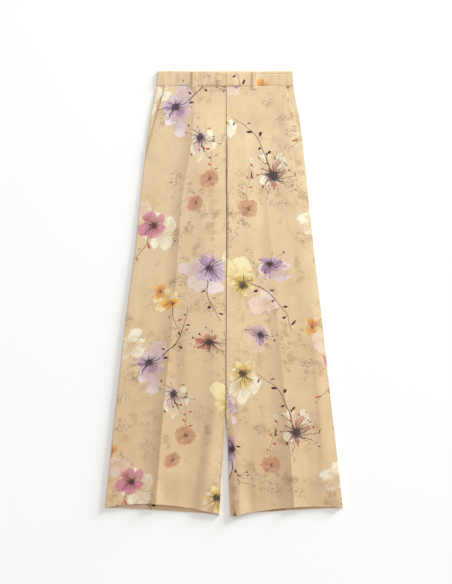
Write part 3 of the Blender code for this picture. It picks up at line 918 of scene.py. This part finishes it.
def sketch_sprigs(g, point, scale, reach, seed):
    """Pencil sprigs: a bowed stem with short leaf strokes and a seed head, each in its own cell."""
    _, away, (one, two, three) = scattered(g, point, scale, 0.8, seed)
    a, b, _ = g.split(turned(g, away, one * 19))
    long = (two * 0.6 + 0.7) * reach
    bowed = b - (three - 0.5) * 0.9 / reach * a * a
    side = g.calc("ABSOLUTE", bowed)
    stem = g.ramp(side, 0.0006, 0.0002) * g.near(a, long, long * 0.9)
    step = a % 0.0085
    leaf = g.near(side - step * 1.1, 0.0006, 0.0002) * g.ramp(side, 0.0068, 0.005)
    leaf = leaf * g.near(a + long * 0.5, long * 0.4, long * 0.3)
    tuft = g.near(g.length(a - long, bowed) - 0.0036, 0.0014, 0.0004)
    return g.most(stem, leaf * 0.8, tuft)


def sketches(g, point, colour):
    """Faint pencil-like flowers and sprigs on the ground between the blooms."""
    grain = g.noise(point, 380.0, 2.0)
    shaken = stirred(g, point, 38.0, 3.0, 0.016)
    small = sketch_flowers(g, shaken, 31.0, 0.3)
    large = sketch_flowers(g, shaken, 17.0, 1.1)
    swayed = stirred(g, point, 14.0, 2.0, 0.012)
    short = sketch_sprigs(g, swayed, 13.0, 0.026, 0.0)
    tall = sketch_sprigs(g, swayed, 7.5, 0.06, 0.37)
    near = g.ramp(g.noise(point, 7.5, 1.5), 0.44, 0.56, 0.1, 1.0)
    curls = g.near(g.noise(point, 130.0, 2.5) - 0.5, 0.035, 0.01)
    curls = curls * g.ramp(g.noise(point, 34.0, 2.0), 0.53, 0.62) * near
    apart = g.ramp(g.noise(point, 5.0, 1.0), 0.58, 0.42, 0.25, 1.0)
    flowers = g.most(g.most(small, large * 0.72) * near, curls * 0.8)
    drawn = g.most(flowers, g.most(short, tall) * apart * 0.42)
    drawn = drawn * g.ramp(grain, 0.3, 0.58, 0.35, 1.0)
    shade = g.ramp(g.noise(point, 30.0, 3.0), 0.54, 0.7) * near * 0.55
    colour = g.mix(shade, colour, linear(PENCIL_SHADE))
    return g.mix(drawn, colour, linear(PENCIL))


def new_material(name, **inputs):
    """A material and its shader, with plain values on some of the shader's inputs."""
    material = bpy.data.materials.new(name)
    material.use_nodes = True
    shader = material.node_tree.nodes["Principled BSDF"]
    for key, value in inputs.items():
        shader.inputs[key.replace("_", " ")].default_value = value
    return material, shader


def printed_cloth():
    """A sand ground with sketches, pale washes, twigs and flowers, one over the other, in a fine weave."""
    sheen = {"Sheen_Weight": 0.07, "Sheen_Roughness": 0.45, "Sheen_Tint": SHEEN_TINT}
    material, shader = new_material("printed_cloth", Specular_IOR_Level=0.22, **sheen)
    g = Graph(material.node_tree)
    cloth_map = g.take(g.node("UVMap", {}, uv_map="cloth"))
    swirl = g.noise(cloth_map, 24.0, 2.0, output=1)
    shift = g.vector("MULTIPLY", g.vector("SUBTRACT", swirl, (0.5, 0.5, 0.5)), (0.012, 0.012, 0.0))
    point = g.vector("ADD", cloth_map, shift)

    mottle = g.noise(cloth_map, 11.0, 3.0)
    colour = g.mix(g.ramp(mottle, 0.3, 0.72), linear(SAND_DEEP), linear(SAND))
    clouds = g.noise(cloth_map, 19.0, 4.0, 0.6)
    colour = g.mix(g.ramp(clouds, 0.52, 0.74) * 0.45, colour, linear(CLOUD))
    colour = g.mix(g.ramp(clouds, 0.46, 0.28) * 0.3, colour, linear(CLOUD_DEEP))
    colour = sketches(g, point, colour)

    bloom, branch = bloom_group(), branch_group()

    def lay(colour, drawn):
        return g.mix(g.take(drawn, "Alpha"), colour, g.take(drawn, "Colour"))

    def draw_bloom(colour, motif, seed):
        radius = motif.radius * MM
        seen = g.vector("MULTIPLY", placed(g, point, motif), (1 / radius, 1 / (radius * motif.squash), 1.0))
        feeds = {"Point": seen, "Seed": seed * 3.7}
        feeds.update(zip(("Outer", "Inner", "Ink"), map(linear, PAINTS[motif.kind])))
        feeds.update({key.capitalize(): value for key, value in KINDS[motif.kind]._asdict().items()})
        return lay(colour, g.node("Group", feeds, node_tree=bloom))

    def draw_branch(colour, motif, seed):
        feeds = {"Point": placed(g, point, motif), "Seed": seed * 1.3 + 50}
        feeds.update({"Stem": linear(motif.stem), "Tip": linear(motif.tip)})
        sizes = "length bend thick pitch bud".split()
        feeds.update({key.capitalize(): getattr(motif, key) * MM for key in sizes})
        return lay(colour, g.node("Group", feeds, node_tree=branch))

    washes = [b for b in BLOOMS if b.kind in ("wash", "straw", "blush", "mist")]
    flowers = [b for b in BLOOMS if b not in washes]
    layers = [(draw_bloom, motif, i) for i, motif in enumerate(washes)]
    layers += [(draw_branch, motif, i) for i, motif in enumerate(BRANCHES)]
    layers += [(draw_bloom, motif, i + 20) for i, motif in enumerate(flowers)]
    for draw, motif, seed in layers:
        colour = draw(colour, motif, seed)
        # Each layer waits for the one before, so that few values are held at once
        point = g.vector("MULTIPLY_ADD", colour, (IN_TURN, IN_TURN, IN_TURN), point)

    u, v, _ = g.split(cloth_map)
    warp = g.calc("SINE", u * (2 * math.pi / THREAD))
    weft = g.calc("SINE", v * (2 * math.pi / THREAD))
    slub = g.noise(g.vector("MULTIPLY", cloth_map, (1.0, 6.0, 1.0)), 260.0, 2.0)
    weave = warp * weft * 0.5 + slub
    colour = g.mix(g.ramp(slub, 0.3, 0.7) * 0.06, colour, SLUB_COLOUR)
    # Painted light and shade: the colour is multiplied lighter near the waist and darker towards the hems,
    # by height up the garment
    _, up, _ = g.split(g.take(g.node("TexCoord", {}), "Object"))
    painted_shade = g.ramp(up, *PAINTED_SHADE_SPAN)
    colour = g.mix(1.0, colour, g.mix(painted_shade, PAINTED_LIGHT_TOP, PAINTED_SHADE_HEM), "MULTIPLY")
    bump = g.node("Bump", {"Strength": 0.35, "Distance": 0.00012, "Height": weave})
    looks = {"Base Color": colour, "Normal": g.take(bump), "Roughness": g.ramp(slub, 0.2, 0.8, 0.58, 0.68)}
    for key, value in looks.items():
        g.tree.links.new(value.socket, shader.inputs[key])
    return material


# ---- the pieces


def add_object(name, data):
    made = bpy.data.objects.new(name, data)
    bpy.context.scene.collection.objects.link(made)
    return made


def add_mesh(name, points, faces, material):
    mesh = bpy.data.meshes.new(name)
    mesh.from_pydata(points, [], faces)
    mesh.materials.append(material)
    return add_object(name, mesh)


def shell(name, grid, print_at, thickness, zero_column):
    """A thin sheet through a grid of x, z and down. The print is in metres along its cloth."""
    rows, columns = grid.shape[:2]
    x, z, down = np.moveaxis(grid, -1, 0)
    points = np.stack([x, LENGTH / 2 - down, z], -1).reshape(-1, 3)
    steps = np.hypot(np.diff(x, axis=1), np.diff(z, axis=1))
    along = np.concatenate([np.zeros((rows, 1)), np.cumsum(steps, axis=1)], 1)
    along = along - along[:, zero_column : zero_column + 1]
    u = along * np.sign(x[rows // 2, -1] - x[rows // 2, 0]) + print_at[0]
    v = down + print_at[1]
    index = np.arange(rows * columns).reshape(rows, columns)
    quads = np.stack([index[:-1, :-1], index[1:, :-1], index[1:, 1:], index[:-1, 1:]], -1).reshape(-1, 4)
    if x[0, -1] < x[0, 0]:
        quads = quads[:, ::-1]
    piece = add_mesh(name, points.tolist(), quads.tolist(), PRINTED)
    corners = np.stack([u.reshape(-1), v.reshape(-1)], -1)[quads.reshape(-1)]
    layer = piece.data.uv_layers.new(name="cloth")
    layer.data.foreach_set("uv", corners.astype(np.float32).reshape(-1))
    piece.data.shade_smooth()
    wall = piece.modifiers.new("Wall", "SOLIDIFY")
    wall.thickness = thickness
    wall.offset = 0.0
    wall.use_even_offset = True
    # The broad faces keep their own slant right up to the thin edges
    slant = piece.modifiers.new("Slant", "WEIGHTED_NORMAL")
    slant.mode = "FACE_AREA"
    slant.weight = 90
    return piece


def sew(node, grid, thickness=SHELL, zero_column=0):
    """The cloth that stands for a solid: the solid is hidden and the cloth is attached to the root body."""
    piece = shell(node + "_cloth", grid, PRINT_AT[node], thickness, zero_column)
    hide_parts(node)
    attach(piece, "root")


STITCH_PITCH = 0.003
STITCH_LONG = 0.0024
STITCH_THICK = 0.0004
STITCH_FLATNESS = 0.7
STITCH_SIDES = 6
STITCH_TAPER = np.array([(0.0, 0.25), (0.12, 0.8), (0.5, 1.0), (0.88, 0.8), (1.0, 0.25)])
POCKET_STITCH_IN = 0.006
STITCH_ENDS = 0.003  # clear of the pocket's two ends
THREAD_COLOUR = (214, 184, 142)


def stitches(name, lines, material):
    """Rows of stitches along lines of x, z and down, each one a small tapered grain of thread."""
    turns = np.linspace(0, 2 * math.pi, STITCH_SIDES, endpoint=False)
    along, thick = STITCH_TAPER.T * [[1.0], [STITCH_THICK / 2]]
    rings = []
    for line in lines:
        path = np.stack([line[:, 0], LENGTH / 2 - line[:, 2], line[:, 1]], -1)
        gone = np.concatenate([[0.0], np.cumsum(np.linalg.norm(np.diff(path, axis=0), axis=1))])
        for start in np.arange(STITCH_PITCH / 2, gone[-1] - STITCH_PITCH, STITCH_PITCH):
            here = [np.interp(start + along * STITCH_LONG, gone, path[:, k]) for k in range(3)]
            middle = np.stack(here, -1)
            ahead = (middle[-1] - middle[0]) / np.linalg.norm(middle[-1] - middle[0])
            beside = np.cross(ahead, (0.0, 0.0, 1.0))
            above = np.cross(beside, ahead)
            ring = np.cos(turns)[:, None] * beside + STITCH_FLATNESS * np.sin(turns)[:, None] * above
            rings.append(middle[:, None] + thick[:, None, None] * ring[None])
    count = len(rings)
    index = np.arange(count * len(along) * STITCH_SIDES).reshape(count, len(along), STITCH_SIDES)
    after = np.roll(index, -1, axis=2)
    faces = np.stack([index[:, :-1], index[:, 1:], after[:, 1:], after[:, :-1]], -1).reshape(-1, 4).tolist()
    faces += index[:, 0].tolist() + index[:, -1, ::-1].tolist()
    piece = add_mesh(name, np.concatenate(rings).reshape(-1, 3).tolist(), faces, material)
    piece.data.shade_smooth()
    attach(piece, "root")


def pocket_line(leg):
    """Where the pocket mouth is stitched, just inside its edge."""
    down = np.linspace(PANEL_TOP + STITCH_ENDS, POCKET_END - STITCH_ENDS, 80)
    x = pocket_x(leg, down) - OUTWARD[leg] * POCKET_STITCH_IN
    return np.stack([x, upper(leg, x, down) + SHELL / 2, down], -1)


def loop_lines(leg):
    """The two rows of stitches along a belt loop."""
    lifted = loop_grid(leg) + (0.0, SHELL / 2, 0.0)
    return [lifted[1:-1, 2], lifted[1:-1, -3]]


PRINTED = printed_cloth()
FRONT_ROWS, BACK_ROWS = stations(0.004), stations(0.008)
FACING_ROWS = np.linspace(PANEL_TOP, POCKET_END - 0.003, 50)
PRINT_AT = {
    "front_leg_right": (0.145, 0.02),
    "front_leg_left": (0.395, 0.33),
    "back_leg_right": (0.3, 0.47),
    "back_leg_left": (0.05, 0.21),
    "pocket_facing_right": (0.12, 0.35),
    "pocket_facing_left": (0.02, 0.06),
    "waistband_front_right": (0.33, 0.12),
    "waistband_front_left": (0.1, 0.29),
    "waistband_back": (0.2, 0.4),
    "belt_loop_right": (0.25, 0.33),
    "belt_loop_left": (0.18, 0.06),
}
# The cloth shells of each leg, then the back of the waistband
for leg in OUTWARD:
    front, crease_column = front_grid(leg, FRONT_ROWS)
    sew("front_leg_" + leg, front, zero_column=crease_column)
    sew("back_leg_" + leg, back_grid(leg, BACK_ROWS))
    sew("pocket_facing_" + leg, facing_grid(leg, FACING_ROWS))
    sew("waistband_front_" + leg, band_grid(leg), BAND_SHELL)
    sew("belt_loop_" + leg, loop_grid(leg))
sew("waistband_back", back_band_grid())

thread, _ = new_material("thread", Base_Color=linear(THREAD_COLOUR), Roughness=0.6)
stitches("pocket_stitches", [pocket_line(leg) for leg in OUTWARD], thread)
stitches("loop_stitches", [line for leg in OUTWARD for line in loop_lines(leg)], thread)

# ---- floor, light and camera

FLOOR_SIZE = 14.0
FLOOR_LEVEL = -0.0004
FLOOR_COLOUR = (0.86, 0.866, 0.85, 1.0)
KEY_ELEVATION = 6.8
KEY_AZIMUTH = 40.0  # from +X towards +Y
KEY_ANGLE = 14.0  # how wide the key looks from the cloth
KEY_ON_FLOOR = 0.34
KEY_COLOUR = (0.906, 1.015, 1.094)
WORLD_LIGHT = 0.64
WORLD_COLOUR = (1.05, 0.992, 0.95, 1.0)
FILL_AT = (1.6, 2.0, 2.4)
FILL_SIZE = 2.0
FILL_POWER = 34.0

LENS = 100.0
SENSOR = 36.0
SIGHT_END = 60.0
CAMERA_AT = (0.0041, 0.003, 4.052)

corners = [(x * FLOOR_SIZE, y * FLOOR_SIZE, FLOOR_LEVEL) for x, y in ((-1, -1), (1, -1), (1, 1), (-1, 1))]
paper, _ = new_material("pale_floor", Base_Color=FLOOR_COLOUR, Roughness=0.9, Specular_IOR_Level=0.1)
add_mesh("floor", corners, [(0, 1, 2, 3)], paper)

key = bpy.data.lights.new("key", "SUN")
key.angle = math.radians(KEY_ANGLE)
key.energy = KEY_ON_FLOOR * math.pi / math.sin(math.radians(KEY_ELEVATION))
key.color = KEY_COLOUR
key_lamp = add_object("key", key)
key_lamp.rotation_euler = (0.0, math.radians(90 - KEY_ELEVATION), math.radians(KEY_AZIMUTH))

fill = bpy.data.lights.new("fill", "AREA")
fill.size = FILL_SIZE
fill.energy = FILL_POWER
fill_lamp = add_object("fill", fill)
fill_lamp.location = FILL_AT
fill_lamp.rotation_euler = Vector(FILL_AT).to_track_quat("Z", "Y").to_euler()

world = bpy.data.worlds.new("studio")
bpy.context.scene.world = world
world.use_nodes = True
sky = world.node_tree.nodes["Background"].inputs
sky["Color"].default_value = WORLD_COLOUR
sky["Strength"].default_value = WORLD_LIGHT

lens = bpy.data.cameras.new("camera")
lens.lens = LENS
lens.sensor_fit = "VERTICAL"
lens.sensor_height = SENSOR
lens.clip_end = SIGHT_END
camera = add_object("camera", lens)
camera.location = CAMERA_AT
bpy.context.scene.camera = camera
bpy.context.scene.view_settings.view_transform = "Standard"
